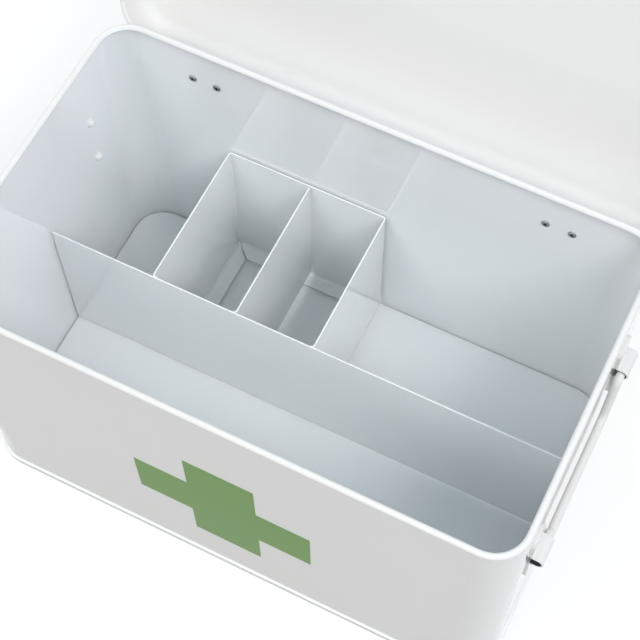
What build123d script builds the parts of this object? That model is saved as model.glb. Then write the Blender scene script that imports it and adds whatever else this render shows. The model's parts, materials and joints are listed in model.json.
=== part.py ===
from build123d import *

import math
import os

# A household medicine tin of white painted sheet steel: a deep body on a seamed base, a
# hinged lid, a swinging bail on each end and welded dividers inside.
# Millimetres. X runs along the front, Y from the front to the back, Z up, and the origin
# is on the ground under the middle of the body. The lid stands open, the bails hang.

# Body: one wall, wrapped round, with its top edge rolled inwards
body_width = 320.0
body_depth = 192.0
body_height = 198.0
corner_radius = 20.0
sheet = 0.7
rim_bead = 3.6
curl_turn = 290.0

# Base: a pressed panel whose edge is folded round the foot of the wall
floor_height = 4.0
floor_bend = 1.8
seam_height = 4.5
seam_step = 1.3
seam_edge = 0.6

# Lid: a drawn pan with a rolled edge, which closes over the outside of the wall
lid_gap = 1.6
lid_lift = 0.3
lid_bead = 3.0
lid_depth = 21.0
lid_edge_radius = 8.0
lid_open_angle = 113.0

# Hinges at the back: a riveted leaf, a welded leaf and a pin in each
hinge_inset = 55.0
hinge_width = 32.0
leaf = 1.0
leaf_corner = 2.5
leaf_margin = 4.6
lid_leaf_height = 10.0
barrel_drop = 0.4
barrel_gap = 0.3
barrel_turn = 300.0
knuckle_gap = 0.3
pin_clearance = 0.05
pin_head = 4.6
pin_head_height = 0.8
hinge_rivet_pitch = 15.0
hinge_rivet_drop = 6.75
hinge_rivet = 2.6
hinge_rivet_head = 4.6
hinge_rivet_head_height = 1.1
hinge_rivet_clench = 4.8
hinge_rivet_clench_height = 0.8
hinge_rivet_bore = 1.9
hinge_rivet_bore_depth = 2.0

# Handles on the two ends: a rod held by two saddles
pivot_height = 132.0
saddle_spacing = 114.0
saddle_width = 15.0
strap = 1.2
strap_bend = 1.0
ear_corner = 4.0
ear_margin = 6.0
upper_rivet_rise = 13.2
lower_rivet_drop = 20.6
rod = 4.8
rod_clearance = 0.4
rod_standoff = 1.3
rod_end_inset = 7.0
rod_end_chamfer = 0.5
bail_drop = 32.0
bail_lean = 8.0
bail_play = 0.2
shoulder_bend = 4.0
grip_bend = 7.0
handle_rivet = 3.0
handle_rivet_head = 4.3
handle_rivet_head_height = 1.3
handle_rivet_tail = 5.6
handle_rivet_tail_height = 2.6

# Dividers: a partition from end to end, and a tray with two cells behind it
divider = 0.7
divider_lift = 2.2
divider_height = 103.5
divider_bend = 0.8
partition_y = 1.9
end_flange = 11.6
end_flange_gap = 0.3
end_flange_drop = 12.0
tray_left_x = -92.5
tray_right_x = 7.7
tray_back_gap = 1.2
middle_x = -40.2
middle_back_gap = 0.9
middle_foot_gap = 6.0
weld_flange = 8.0
foot_width = 9.6
foot_bend = 2.5
foot_gap = 1.2

# Places that follow from the sizes
back_y = body_depth / 2
side_x = body_width / 2
rim_z = body_height - rim_bead / 2
divider_low = floor_height + divider_lift
divider_top = divider_low + divider_height

lid_overhang = lid_gap + lid_bead
lid_top = body_height + lid_lift + sheet
lid_bottom = lid_top - lid_depth

hinge_x = side_x - hinge_inset
barrel_radius = (lid_overhang + leaf - barrel_gap) / 2
pin_radius = barrel_radius - leaf - pin_clearance
hinge_y = back_y + barrel_gap + barrel_radius
hinge_z = lid_bottom - barrel_drop - barrel_radius
hinge_rivet_z = hinge_z - hinge_rivet_drop
knuckle = (hinge_width - 2 * knuckle_gap) / 3
hinge_line = Axis((0, hinge_y, hinge_z), (1, 0, 0))

saddle_radius = rod / 2 + rod_clearance
pivot_x = side_x + rod_standoff + rod / 2

drill_length = 4 * (sheet + max(leaf, strap))
bend_middle = divider_bend + divider / 2
foot_middle = foot_bend + divider / 2
partition_back = partition_y + divider / 2
tray_front_y = partition_back + divider / 2
tray_back_y = back_y - sheet - tray_back_gap - divider / 2


def outline(inset):
    """The body's outline in plan, moved in from the outside of the wall."""
    return RectangleRounded(
        body_width - 2 * inset, body_depth - 2 * inset, corner_radius - inset
    )


def band(inset, thickness, low, high):
    """An upright sheet that follows the outline, between two heights."""
    return Pos(0, 0, low) * extrude(outline(inset) - outline(inset + thickness), high - low)


def rolled_edge(inset, height, bead, turn):
    """A sheet rolled to a bead round the outline. A positive turn goes over, a negative one under."""
    outer = bead / 2
    inner = outer - sheet
    outside = CenterArc((0, 0), outer, 0, turn)
    inside = CenterArc((0, 0), inner, 0, turn)
    roll = make_face(
        outside + Line(outside @ 1, inside @ 1) + inside + Line(inside @ 0, outside @ 0)
    )
    path = Pos(0, 0, height) * outline(inset + outer).wire()
    along = path % 0
    return sweep(Plane(path @ 0, along.cross(Vector(0, 0, 1)), -along) * roll, path=path)


def block(x0, x1, y0, y1, z0, z1):
    """A block between two corners."""
    return Pos(x0, y0, z0) * Box(x1 - x0, y1 - y0, z1 - z0, align=Align.MIN)


def dome(diameter, height):
    """A low round rivet head, standing on the ground plane."""
    ball = ((diameter / 2) ** 2 + height**2) / (2 * height)
    above = Pos(0, 0, diameter) * Box(2 * diameter, 2 * diameter, 2 * diameter)
    return Pos(0, 0, height - ball) * Sphere(ball) & above


def mirrored(shape):
    """The same piece on the left of the body."""
    return mirror(shape, about=Plane.YZ)


def opened(shape):
    """A piece of the closed lid, turned to where the lid stands open."""
    return shape.rotate(hinge_line, -lid_open_angle)


# Body and base


def on_back(x):
    """A rivet's place on the back wall, looking outwards."""
    return Pos(x, back_y, hinge_rivet_z) * Rot(-90, 0, 0)


def on_side(y, z):
    """A rivet's place on the right-hand wall, looking outwards."""
    return Pos(side_x, y, z) * Rot(0, 90, 0)


hinge_rivet_x = [hinge_x - hinge_rivet_pitch / 2, hinge_x + hinge_rivet_pitch / 2]
saddle_y = {"front": -saddle_spacing / 2, "rear": saddle_spacing / 2}
saddle_rivet_z = {
    "lower": pivot_height - lower_rivet_drop,
    "upper": pivot_height + upper_rivet_rise,
}

hinge_holes = [
    on_back(x) * Cylinder(hinge_rivet / 2, drill_length) for x in hinge_rivet_x
]
saddle_holes = [
    on_side(y, z) * Cylinder(handle_rivet / 2, drill_length)
    for y in saddle_y.values()
    for z in saddle_rivet_z.values()
]


def body_wall():
    """The wrapped sheet, from its foot in the base's fold up to the rolled rim."""
    wall = band(0, sheet, sheet, rim_z) + rolled_edge(0, rim_z, rim_bead, curl_turn)
    for hole in hinge_holes + saddle_holes:
        wall = wall - hole - mirrored(hole)
    return wall


def rounded_top(inset, height, radius):
    """A block of the outline's shape on the ground, with its top edge rounded."""
    shape = extrude(outline(inset), height)
    return fillet(shape.faces().sort_by(Axis.Z)[-1].edges(), radius)


def base_pan():
    """The floor, turned down inside the wall, under its foot and up round the outside."""
    panel = rounded_top(sheet, floor_height, floor_bend)
    panel -= rounded_top(2 * sheet, floor_height - sheet, floor_bend - sheet)
    fold = rounded_top(-seam_step, seam_height, seam_edge)
    fold -= Pos(0, 0, sheet) * extrude(outline(0), seam_height)
    fold -= extrude(outline(2 * sheet), sheet)
    return panel + fold


# Lid and hinges, with the lid closed


def lid_shell():
    """A pan, drawn from one sheet, whose skirt ends in a bead rolled under and inwards."""
    edge = lid_bottom + lid_bead / 2
    pan = rounded_top(-lid_overhang, lid_top - edge, lid_edge_radius)
    pan -= rounded_top(sheet - lid_overhang, lid_top - edge - sheet, lid_edge_radius - sheet)
    return Pos(0, 0, edge) * pan + rolled_edge(-lid_overhang, edge, lid_bead, -curl_turn)


def rolled_leaf(run, start, turn):
    """The right-hand hinge's leaf: flat along run in Y and Z, then rolled round the pin."""
    roll = CenterArc((hinge_y, hinge_z), barrel_radius - leaf / 2, start, turn)
    section = trace(Polyline(*run, roll @ 0) + roll, leaf)
    return Pos(hinge_x, 0, 0) * extrude(Plane.YZ * section, hinge_width / 2, both=True)


def beside(reach, low, high):
    """The room for the other leaf's knuckles, on both sides of the middle out to reach."""
    depth = 2 * barrel_radius
    return block(hinge_x - reach, hinge_x + reach, hinge_y - depth, hinge_y + depth, low, high)


def body_leaf():
    """Riveted flat on the back wall, with its end knuckles rolled over the pin."""
    wall_y = back_y + leaf / 2
    step_z = hinge_z - barrel_radius
    piece = rolled_leaf(
        [(wall_y, hinge_rivet_z - leaf_margin), (wall_y, step_z - leaf)], 180, -barrel_turn
    )
    corners = piece.edges().filter_by(Axis.Y).group_by(Axis.Z)[0]
    piece = fillet(corners, leaf_corner)
    piece -= beside(knuckle / 2 + knuckle_gap, step_z - knuckle_gap, hinge_z + 2 * barrel_radius)
    for hole in hinge_holes:
        piece -= hole
    return piece


def lid_leaf():
    """Welded flat on the lid's skirt, with its middle knuckle rolled under the pin."""
    skirt_y = back_y + lid_overhang + leaf / 2
    piece = rolled_leaf([(skirt_y, lid_bottom + lid_leaf_height)], 0, -barrel_turn)
    corners = piece.edges().filter_by(Axis.Y).group_by(Axis.Z)[-1]
    piece = fillet(corners, leaf_corner)
    low, high = hinge_z - 2 * barrel_radius, hinge_z + barrel_radius + knuckle_gap
    return piece - (beside(hinge_width, low, high) - beside(knuckle / 2, low, high))


def hinge_pin():
    """A pin with a low head at each end, which keeps it in the body leaf's knuckles."""
    pin = Cylinder(pin_radius, hinge_width)
    for half_turn in (0, 180):
        pin += Rot(half_turn, 0, 0) * Pos(0, 0, hinge_width / 2) * dome(pin_head, pin_head_height)
    return Pos(hinge_x, hinge_y, hinge_z) * Rot(0, 90, 0) * pin


def hinge_rivet_solid(x):
    """A semi-tubular rivet: a domed head on the leaf, its end rolled over inside the box."""
    clench = Cylinder(hinge_rivet_clench / 2, hinge_rivet_clench_height)
    clench = chamfer(clench.faces().sort_by(Axis.Z)[0].edges(), hinge_rivet_clench_height / 2)
    shank = Pos(0, 0, (leaf - sheet) / 2) * Cylinder(hinge_rivet / 2, leaf + sheet)
    piece = shank + Pos(0, 0, leaf) * dome(hinge_rivet_head, hinge_rivet_head_height)
    piece += Pos(0, 0, -sheet - hinge_rivet_clench_height / 2) * clench
    bore = Cylinder(hinge_rivet_bore / 2, 2 * hinge_rivet_bore_depth)
    return on_back(x) * (piece - Pos(0, 0, -sheet - hinge_rivet_clench_height) * bore)


# Handles, on the right-hand end


def saddle(y):
    """A strap bent over the rod, with both ears flat on the wall."""
    ear_x = side_x + strap / 2
    middle = saddle_radius + strap / 2
    low = pivot_height - lower_rivet_drop - ear_margin
    high = pivot_height + upper_rivet_rise + ear_margin
    corner = strap_bend + strap / 2
    foot = FilletPolyline(
        (ear_x, low), (ear_x, pivot_height - middle), (pivot_x, pivot_height - middle), radius=corner
    )
    crown = CenterArc((pivot_x, pivot_height), middle, -90, 180)
    head = FilletPolyline(
        (pivot_x, pivot_height + middle), (ear_x, pivot_height + middle), (ear_x, high), radius=corner
    )
    piece = extrude(Plane.XZ * trace(foot + crown + head, strap), saddle_width / 2, both=True)
    ends = piece.edges().filter_by(Axis.X).group_by(Axis.Z)
    piece = Pos(0, y, 0) * fillet(ends[0] + ends[-1], ear_corner)
    for hole in saddle_holes:
        piece -= hole
    return piece


def bail():
    """The rod: two ends in the saddles, two legs and a straight grip."""
    end = saddle_spacing / 2 + saddle_width / 2 - rod_end_inset
    turn = math.atan2(bail_drop, bail_lean)
    shoulder = saddle_spacing / 2 - saddle_width / 2 - bail_play - shoulder_bend * math.tan(turn / 2)
    grip = shoulder - bail_lean
    low = pivot_height - bail_drop
    path = FilletPolyline(
        (pivot_x, -end, pivot_height),
        (pivot_x, -shoulder, pivot_height),
        (pivot_x, -grip, low),
        (pivot_x, grip, low),
        (pivot_x, shoulder, pivot_height),
        (pivot_x, end, pivot_height),
        radius=[shoulder_bend, grip_bend, grip_bend, shoulder_bend],
    )
    piece = sweep(Plane(path @ 0, z_dir=path % 0) * Circle(rod / 2), path=path)
    ends = piece.faces().sort_by(Axis.Y)
    return chamfer(ends[0].edges() + ends[-1].edges(), rod_end_chamfer)


def handle_rivet_solid(y, z):
    """A solid rivet: a low head on the saddle's ear, and a hammered tail inside the box."""
    piece = Pos(0, 0, (strap - sheet) / 2) * Cylinder(handle_rivet / 2, strap + sheet)
    piece += Pos(0, 0, strap) * dome(handle_rivet_head, handle_rivet_head_height)
    piece += Pos(0, 0, -sheet) * Rot(180, 0, 0) * dome(handle_rivet_tail, handle_rivet_tail_height)
    return on_side(y, z) * piece


# Dividers


def upright(path, low=divider_low):
    """A sheet that stands along a path in plan, up to the dividers' top."""
    return Pos(0, 0, low) * extrude(trace(path, divider), divider_top - low)


def partition():
    """A sheet from end to end. Its end flanges start below the top, with a sloping upper edge."""
    end = side_x - sheet - end_flange_gap - divider / 2
    flange_y = partition_y + end_flange
    path = FilletPolyline(
        (-end, flange_y), (-end, partition_y), (end, partition_y), (end, flange_y), radius=bend_middle
    )
    flange_top = divider_top - end_flange_drop
    cut = Polyline(
        (partition_y - divider, divider_top),
        (partition_y - divider, flange_top),
        (partition_back, flange_top),
        (flange_y, flange_top - (flange_y - partition_back)),
        (flange_y, divider_top),
        close=True,
    )
    relief = Pos(end - bend_middle, 0, 0) * extrude(Plane.YZ * make_face(cut), 2 * bend_middle)
    return upright(path) - relief - mirrored(relief)


def weld_corner(x, side):
    """What is cut off the top of a weld flange that runs along the partition from x to one side."""
    length = weld_flange - bend_middle
    start = x + side * bend_middle
    cut = Polyline(
        (start, divider_top), (start + side * length, divider_top),
        (start + side * length, divider_top - length), close=True
    )
    return Pos(0, tray_front_y, 0) * extrude(Plane.XZ * make_face(cut), divider, both=True)


def turned_foot(length, start_corner):
    """The foot of one side of the tray, turned in above the floor. It runs along X to a mitred
    corner at length, from another one at 0 or from the front, with the cell on its +Y side."""
    half = divider / 2
    path = FilletPolyline((0, half + 2 * foot_middle), (0, half), (foot_width, half), radius=foot_middle)
    strip = extrude(Plane.YZ * trace(path, divider), length)
    step = bend_middle + foot_gap / math.sqrt(2)
    slope = foot_width - bend_middle
    start = (step, step + slope) if start_corner else (divider, divider)
    cut = Polyline(
        (start[0], -divider),
        (start[0], bend_middle),
        (start[1], foot_width),
        (length - step - slope, foot_width),
        (length - step, bend_middle),
        (length - step, -divider),
        close=True,
    )
    return strip & extrude(make_face(cut), 4 * foot_middle)


def tray():
    """Three sides in one bent sheet, welded to the partition by its two front flanges."""
    path = FilletPolyline(
        (tray_left_x + weld_flange, tray_front_y),
        (tray_left_x, tray_front_y),
        (tray_left_x, tray_back_y),
        (tray_right_x, tray_back_y),
        (tray_right_x, tray_front_y),
        (tray_right_x - weld_flange, tray_front_y),
        radius=bend_middle,
    )
    piece = upright(path, divider_low + divider / 2 + 2 * foot_middle)
    piece = piece - weld_corner(tray_left_x, 1) - weld_corner(tray_right_x, -1)
    depth = tray_back_y - tray_front_y
    side = Rot(0, 0, 90) * turned_foot(depth, False)
    piece += Pos(tray_left_x, tray_front_y, divider_low) * mirrored(side)
    piece += Pos(tray_right_x, tray_front_y, divider_low) * side
    back = Rot(0, 0, 180) * turned_foot(tray_right_x - tray_left_x, True)
    return piece + Pos(tray_right_x, tray_back_y, divider_low) * back


def middle_divider():
    """A sheet between the two cells, which stays clear of the tray's feet and back."""
    path = FilletPolyline(
        (middle_x - weld_flange, tray_front_y),
        (middle_x, tray_front_y),
        (middle_x, tray_back_y - divider / 2 - middle_back_gap),
        radius=bend_middle,
    )
    return upright(path, divider_low + divider + middle_foot_gap) - weld_corner(middle_x, -1)


pieces = {
    "body_wall": body_wall(),
    "base_pan": base_pan(),
    "lid_shell": opened(lid_shell()),
    "insert_partition": partition(),
    "insert_tray": tray(),
    "insert_middle_divider": middle_divider(),
}

right_side = {
    "hinge_{}_body_leaf": body_leaf(),
    "hinge_{}_lid_leaf": opened(lid_leaf()),
    "hinge_{}_pin": hinge_pin(),
    "hinge_{}_inner_rivet": hinge_rivet_solid(hinge_rivet_x[0]),
    "hinge_{}_outer_rivet": hinge_rivet_solid(hinge_rivet_x[1]),
    "handle_{}_bail": bail(),
}
for end, y in saddle_y.items():
    right_side["handle_{}_" + end + "_saddle"] = saddle(y)
    for level, z in saddle_rivet_z.items():
        right_side["handle_{}_" + end + "_" + level + "_rivet"] = handle_rivet_solid(y, z)

for name, piece in right_side.items():
    pieces[name.format("right")] = piece
    pieces[name.format("left")] = mirrored(piece)

os.makedirs("parts", exist_ok=True)
for name, piece in pieces.items():
    export_step(piece, "parts/" + name + ".step")
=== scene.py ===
import bmesh
import bpy
import json
import math
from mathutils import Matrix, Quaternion, Vector


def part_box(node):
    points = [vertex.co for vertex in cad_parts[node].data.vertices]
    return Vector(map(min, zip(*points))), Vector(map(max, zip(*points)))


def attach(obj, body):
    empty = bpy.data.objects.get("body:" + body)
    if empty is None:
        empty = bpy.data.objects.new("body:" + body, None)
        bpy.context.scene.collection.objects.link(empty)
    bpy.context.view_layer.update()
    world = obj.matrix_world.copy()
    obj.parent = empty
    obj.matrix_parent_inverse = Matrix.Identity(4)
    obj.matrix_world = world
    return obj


# A white enamelled medicine tin with its lid open. Metres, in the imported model's own frame:
# X along the front, Y from the front to the back, Z up.

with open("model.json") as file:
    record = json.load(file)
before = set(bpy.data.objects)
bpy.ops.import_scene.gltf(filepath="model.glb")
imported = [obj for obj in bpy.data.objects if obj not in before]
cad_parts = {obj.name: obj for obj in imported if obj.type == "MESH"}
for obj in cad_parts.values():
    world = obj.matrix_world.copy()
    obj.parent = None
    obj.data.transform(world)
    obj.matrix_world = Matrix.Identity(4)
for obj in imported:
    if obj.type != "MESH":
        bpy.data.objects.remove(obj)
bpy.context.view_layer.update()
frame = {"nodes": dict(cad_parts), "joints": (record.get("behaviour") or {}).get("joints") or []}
print("frame loaded:", len(frame["nodes"]), "nodes")


# helpers for meshes and node materials

noiseReach = (0.3, 0.7)  # most of a noise's values lie between these


def meshObject(name, mesh):
    data = bpy.data.meshes.new(name)
    mesh.to_mesh(data)
    mesh.free()
    piece = bpy.data.objects.new(name, data)
    bpy.context.collection.objects.link(piece)
    return piece


def newMaterial(name):
    material = bpy.data.materials.new(name)
    material.use_nodes = True
    tree = material.node_tree
    tree.nodes.clear()
    shader = tree.nodes.new("ShaderNodeBsdfPrincipled")
    output = tree.nodes.new("ShaderNodeOutputMaterial")
    tree.links.new(shader.outputs["BSDF"], output.inputs["Surface"])
    return material, tree, shader


# a socket is linked, and a plain value is set

def feed(tree, socket, value):
    if isinstance(value, bpy.types.NodeSocket):
        tree.links.new(value, socket)
    else:
        socket.default_value = value


def objectPoint(tree):
    return tree.nodes.new("ShaderNodeTexCoord").outputs["Object"]


def noise(tree, point, scale, detail=2.0, roughness=0.5):
    node = tree.nodes.new("ShaderNodeTexNoise")
    node.inputs["Scale"].default_value = scale
    node.inputs["Detail"].default_value = detail
    node.inputs["Roughness"].default_value = roughness
    tree.links.new(point, node.inputs["Vector"])
    return node.outputs["Fac"]


def spread(tree, value, low, high, reach=noiseReach):
    node = tree.nodes.new("ShaderNodeMapRange")
    node.inputs["From Min"].default_value = reach[0]
    node.inputs["From Max"].default_value = reach[1]
    node.inputs["To Min"].default_value = low
    node.inputs["To Max"].default_value = high
    tree.links.new(value, node.inputs["Value"])
    return node.outputs["Result"]


def blend(tree, share, first, second):
    node = tree.nodes.new("ShaderNodeMix")
    node.data_type = "RGBA"
    tree.links.new(share, node.inputs["Factor"])
    feed(tree, node.inputs["A"], first)
    feed(tree, node.inputs["B"], second)
    return node.outputs["Result"]


def scalarMath(tree, operation, first, second):
    node = tree.nodes.new("ShaderNodeMath")
    node.operation = operation
    feed(tree, node.inputs[0], first)
    feed(tree, node.inputs[1], second)
    return node.outputs["Value"]


def vectorMath(tree, operation, *values):
    node = tree.nodes.new("ShaderNodeVectorMath")
    node.operation = operation
    for socket, value in zip(node.inputs, values):
        feed(tree, socket, value)
    return node.outputs["Value" if operation in ("DOT_PRODUCT", "LENGTH") else "Vector"]


def relief(tree, point, form, under=None):
    node = tree.nodes.new("ShaderNodeBump")
    node.inputs["Distance"].default_value = form["depth"]
    node.inputs["Strength"].default_value = form["strength"]
    tree.links.new(noise(tree, point, form["scale"], form["detail"]), node.inputs["Height"])
    if under is not None:
        tree.links.new(under, node.inputs["Normal"])
    return node.outputs["Normal"]


# where the coat and the lighter inside tone show, and where painted shade darkens the hollows of the
# saddles: each mask is 1 there and 0 elsewhere

masks = {
    "facingMiddle": (-0.45, -0.1),
    "facingUp": (0.3, 0.7),
    "saddleBore": (0.0032, 0.00335),
}
bailPivot = {joint["name"]: tuple(joint["pos_m"]) for joint in frame["joints"]}["right_bail_pivot"]


def facingMiddle(tree):
    coordinates = tree.nodes.new("ShaderNodeTexCoord").outputs
    outwards = vectorMath(tree, "DOT_PRODUCT", coordinates["Normal"], coordinates["Object"])
    inPlan = vectorMath(tree, "MULTIPLY", coordinates["Object"], (1, 1, 0))
    cosine = scalarMath(tree, "DIVIDE", outwards, vectorMath(tree, "LENGTH", inPlan))
    return spread(tree, cosine, 1, 0, masks["facingMiddle"])


def facingUp(tree):
    normal = tree.nodes.new("ShaderNodeTexCoord").outputs["Normal"]
    return spread(tree, vectorMath(tree, "DOT_PRODUCT", normal, (0, 0, 1)), 0, 1, masks["facingUp"])


# the hollow of a saddle's bend: round on the rod's outer side, straight towards the wall; it gets near
# black painted shade

def paintedSaddleShadeMask(tree):
    eitherEnd = vectorMath(tree, "ABSOLUTE", objectPoint(tree))
    fromPivot = vectorMath(tree, "SUBTRACT", eitherEnd, bailPivot)
    outwards = vectorMath(tree, "MAXIMUM", fromPivot, (0, -1, -1))
    acrossRod = vectorMath(tree, "MULTIPLY", outwards, (1, 0, 1))
    return spread(tree, vectorMath(tree, "LENGTH", acrossRod), 1, 0, masks["saddleBore"])


# white enamel, stoved on the sheet: a cooler tone under a clear coat inside, a satin one outside; the
# inside tone is also lighter than the outside, painted light that brightens the cavity

enamel = {
    "outside": (0.752, 0.745, 0.735),
    # the inside tone is cooler and lighter than the outside; its lightness is painted light for the cavity
    "inside": (0.862, 0.884, 0.900),
    # near black painted shade for the hollows of the saddles
    "paintedSaddleShade": (0.045, 0.045, 0.05),
    "gloss": 0.25,
    "coatRoughness": 0.03,
    "cloudScale": 9.0,
    "cloudDetail": 3.0,
    "cloudShade": 0.985,
    "roughness": (0.04, 0.07),
    "roughnessScale": 38.0,
    "wave": {"scale": 11.0, "detail": 1.0, "depth": 0.0008, "strength": 0.25},
    "peel": {"scale": 420.0, "detail": 1.0, "depth": 0.00002, "strength": 0.5},
}


def clouded(tree, point, colour):
    cloud = spread(tree, noise(tree, point, enamel["cloudScale"], enamel["cloudDetail"]), 0, 1)
    shaded = [channel * enamel["cloudShade"] for channel in colour]
    return blend(tree, cloud, (*colour, 1), (*shaded, 1))


def enamelMaterial(name, colour, maskOf=None, maskedColour=None, coat=0.0, gloss=enamel["gloss"]):
    material, tree, shader = newMaterial(name)
    point = objectPoint(tree)
    tone = clouded(tree, point, colour)
    if maskOf is not None:
        mask = maskOf(tree)
        tone = blend(tree, mask, tone, clouded(tree, point, maskedColour))
        coat = mask if coat else coat
    feed(tree, shader.inputs["Base Color"], tone)
    feed(tree, shader.inputs["Coat Weight"], coat)
    shader.inputs["Coat Roughness"].default_value = enamel["coatRoughness"]
    shader.inputs["Specular IOR Level"].default_value = gloss
    dullness = spread(tree, noise(tree, point, enamel["roughnessScale"]), *enamel["roughness"])
    tree.links.new(dullness, shader.inputs["Roughness"])
    peel = relief(tree, point, enamel["peel"], under=relief(tree, point, enamel["wave"]))
    tree.links.new(peel, shader.inputs["Normal"])
    return material


outsideEnamel = enamelMaterial("outsideEnamel", enamel["outside"])
# the inserts, the wall's inner faces and the floor's upper face take the lighter inside tone, painted light
insideEnamelWithPaintedLight = enamelMaterial("insideEnamelWithPaintedLight", enamel["inside"], coat=1.0)
wallEnamelWithPaintedLight = enamelMaterial("wallEnamelWithPaintedLight", enamel["outside"], facingMiddle, enamel["inside"], coat=1.0)
floorEnamelWithPaintedLight = enamelMaterial("floorEnamelWithPaintedLight", enamel["outside"], facingUp, enamel["inside"], coat=1.0)
# the saddles get near black painted shade in their hollows
saddleEnamelWithPaintedShade = enamelMaterial("saddleEnamelWithPaintedShade", enamel["outside"], paintedSaddleShadeMask, enamel["paintedSaddleShade"])


# bare steel of the hinge rivets

steel = {
    "bright": (0.60, 0.62, 0.63),
    "dull": (0.32, 0.33, 0.34),
    "roughness": (0.18, 0.34),
    "grainScale": 900.0,
    "grainDetail": 4.0,
    "grainRoughness": 0.6,
    "grainDepth": 0.00003,
    "grainStrength": 0.4,
}


def steelMaterial():
    material, tree, shader = newMaterial("bareSteel")
    point = objectPoint(tree)
    grain = noise(tree, point, steel["grainScale"], steel["grainDetail"], steel["grainRoughness"])
    tone = blend(tree, spread(tree, grain, 0, 1), (*steel["bright"], 1), (*steel["dull"], 1))
    tree.links.new(tone, shader.inputs["Base Color"])
    tree.links.new(spread(tree, grain, *steel["roughness"]), shader.inputs["Roughness"])
    scratched = tree.nodes.new("ShaderNodeBump")
    scratched.inputs["Distance"].default_value = steel["grainDepth"]
    scratched.inputs["Strength"].default_value = steel["grainStrength"]
    tree.links.new(grain, scratched.inputs["Height"])
    tree.links.new(scratched.outputs["Normal"], shader.inputs["Normal"])
    shader.inputs["Metallic"].default_value = 1.0
    return material


bareSteel = steelMaterial()


def finishFor(name):
    if name.endswith(("inner_rivet", "outer_rivet")):
        return bareSteel
    if name.endswith("saddle"):
        return saddleEnamelWithPaintedShade
    if name.startswith("insert"):
        return insideEnamelWithPaintedLight
    return {"body_wall": wallEnamelWithPaintedLight, "base_pan": floorEnamelWithPaintedLight}.get(name, outsideEnamel)


for name, node in frame["nodes"].items():
    node.data.materials.clear()
    node.data.materials.append(finishFor(name))
print("enamel and steel put on the tin's parts")


# the plain green cross, painted on the front: its four upright and its four level edges

cross = {
    "xEdges": (-0.0493, -0.0172, 0.0235, 0.0549),
    "zEdges": (0.0385, 0.0675, 0.1066, 0.1380),
    "corner": 0.0006,
    "cornerSegments": 3,
    "film": 0.00008,
    "green": (0.158, 0.325, 0.066),
    "gloss": 0.05,
}


def crossCorners():
    steps = ((1, 0), (2, 0), (2, 1), (3, 1), (3, 2), (2, 2), (2, 3), (1, 3), (1, 2), (0, 2), (0, 1), (1, 1))
    return [(cross["xEdges"][i], cross["zEdges"][k]) for i, k in steps]


def paintedCross():
    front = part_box("body_wall")[0][1]
    mesh = bmesh.new()
    corners = [mesh.verts.new((x, front, z)) for x, z in crossCorners()]
    mesh.faces.new(corners)
    bmesh.ops.bevel(mesh, geom=corners, offset=cross["corner"], affect="VERTICES",
                    segments=cross["cornerSegments"], profile=0.5, material=-1)
    mesh.faces.ensure_lookup_table()
    onSheet = mesh.faces[0].verts[:]
    proud = [mesh.verts.new(vert.co - Vector((0, cross["film"], 0))) for vert in onSheet]
    mesh.faces.new(proud)
    for i in range(len(proud)):
        mesh.faces.new((onSheet[i - 1], onSheet[i], proud[i], proud[i - 1]))
    bmesh.ops.recalc_face_normals(mesh, faces=mesh.faces)
    return meshObject("front_cross", mesh)


frontCross = paintedCross()
frontCross.data.materials.append(enamelMaterial("greenPaint", cross["green"], gloss=cross["gloss"]))
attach(frontCross, "box")
print("green cross painted on the front")


# floor and room: pale, and white where the camera, a gloss or a glass sees them

room = {
    "floorSize": 12.0,
    "floorDrop": 0.0003,
    "floorColour": 0.38,
    "floorRoughness": 0.9,
    "floorGloss": 0.1,
    "floorLift": (0.58, 1.0),
    "liftReach": (0.25, 1.0),
    "ambient": 0.02,
}


def seenDirectly(tree):
    path = tree.nodes.new("ShaderNodeLightPath").outputs
    plain = scalarMath(tree, "MAXIMUM", path["Is Camera Ray"], path["Is Glossy Ray"])
    return scalarMath(tree, "MAXIMUM", plain, path["Is Transmission Ray"])


def paleFloor():
    mesh = bmesh.new()
    bmesh.ops.create_grid(mesh, x_segments=1, y_segments=1, size=room["floorSize"] / 2)
    bmesh.ops.translate(mesh, verts=mesh.verts, vec=(0, 0, -room["floorDrop"]))
    floor = meshObject("floor", mesh)
    material, tree, shader = newMaterial("paleFloor")
    shader.inputs["Base Color"].default_value = (room["floorColour"],) * 3 + (1,)
    shader.inputs["Roughness"].default_value = room["floorRoughness"]
    shader.inputs["Specular IOR Level"].default_value = room["floorGloss"]
    shader.inputs["Emission Color"].default_value = (1, 1, 1, 1)
    distance = vectorMath(tree, "LENGTH", objectPoint(tree))
    lift = spread(tree, distance, *room["floorLift"], room["liftReach"])
    strength = scalarMath(tree, "MULTIPLY", lift, seenDirectly(tree))
    tree.links.new(strength, shader.inputs["Emission Strength"])
    floor.data.materials.append(material)


def whiteWorld():
    world = bpy.data.worlds.new("studio")
    world.use_nodes = True
    tree = world.node_tree
    background = tree.nodes["Background"]
    background.inputs["Color"].default_value = (1, 1, 1, 1)
    strength = spread(tree, seenDirectly(tree), room["ambient"], 1.0, reach=(0, 1))
    tree.links.new(strength, background.inputs["Strength"])
    bpy.context.scene.world = world


paleFloor()
whiteWorld()


# soft studio lamps round the tin: azimuth, elevation, size, watts and tint

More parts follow.
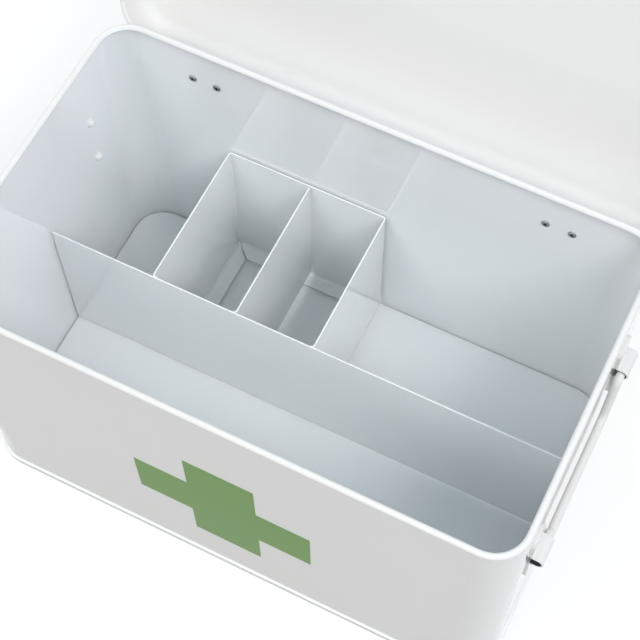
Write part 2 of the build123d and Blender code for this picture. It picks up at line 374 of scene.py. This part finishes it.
lampReach = {"distance": 2.4, "height": 0.1}
lamps = {
    "key": (60, 55, 0.9, 26.8, (1.0, 0.97, 0.97)),
    "frontHigh": (0, 58, 2.4, 28.2, (0.80, 0.98, 1.0)),
    "right": (90, 34, 2.4, 28.3, (0.92, 0.94, 1.0)),
    "backLeft": (225, 34, 2.4, 16.8, (0.88, 1.0, 0.92)),
    "frontLeft": (315, 34, 2.4, 13.0, (1.0, 0.77, 0.57)),
    "left": (270, 34, 2.4, 11.0, (0.35, 0.6, 1.0)),
    "frontLeftKey": (330, 50, 0.7, 7.0, (1.0, 0.88, 0.92)),
    "back": (180, 16, 1.2, 11.0, (1.0, 0.99, 0.97)),
    "leftLow": (270, 14, 1.2, 6.0, (1.0, 0.9, 0.8)),
}


# azimuth 0 is in front of the tin, and 90 on its right

def towards(azimuth, elevation):
    turn, rise = math.radians(azimuth), math.radians(elevation)
    return Vector((math.sin(turn) * math.cos(rise), -math.cos(turn) * math.cos(rise), math.sin(rise)))


for name, (azimuth, elevation, size, watts, tint) in lamps.items():
    light = bpy.data.lights.new(name, "AREA")
    light.shape = "SQUARE"
    light.size = size
    light.energy = watts
    light.color = tint
    lamp = bpy.data.objects.new(name, light)
    direction = towards(azimuth, elevation)
    lamp.location = direction * lampReach["distance"] + Vector((0, 0, lampReach["height"]))
    lamp.rotation_mode = "QUATERNION"
    lamp.rotation_quaternion = direction.to_track_quat("Z", "Y")
    lamp.visible_glossy = False  # gloss shows the white room, not hot squares
    bpy.context.collection.objects.link(lamp)
print("floor, room and lamps set")


# camera, fitted to the photograph's view

view = {
    "lens": 86.19,
    "sensorWidth": 36.0,
    "azimuth": 27.33,
    "elevation": 62.9,
    "roll": 0.9,
    "target": (0.00112, 0.02334, 0.1),
    "distance": 0.85222,
}

cameraData = bpy.data.cameras.new("camera")
cameraData.sensor_width = view["sensorWidth"]
cameraData.lens = view["lens"]
camera = bpy.data.objects.new("camera", cameraData)
towardsCamera = towards(view["azimuth"], view["elevation"])
rolled = Quaternion((0, 0, 1), -math.radians(view["roll"]))
camera.location = Vector(view["target"]) + towardsCamera * view["distance"]
camera.rotation_mode = "QUATERNION"
camera.rotation_quaternion = towardsCamera.to_track_quat("Z", "Y") @ rolled
bpy.context.collection.objects.link(camera)
bpy.context.scene.camera = camera
bpy.context.scene.view_settings.view_transform = "Standard"
print("camera placed")
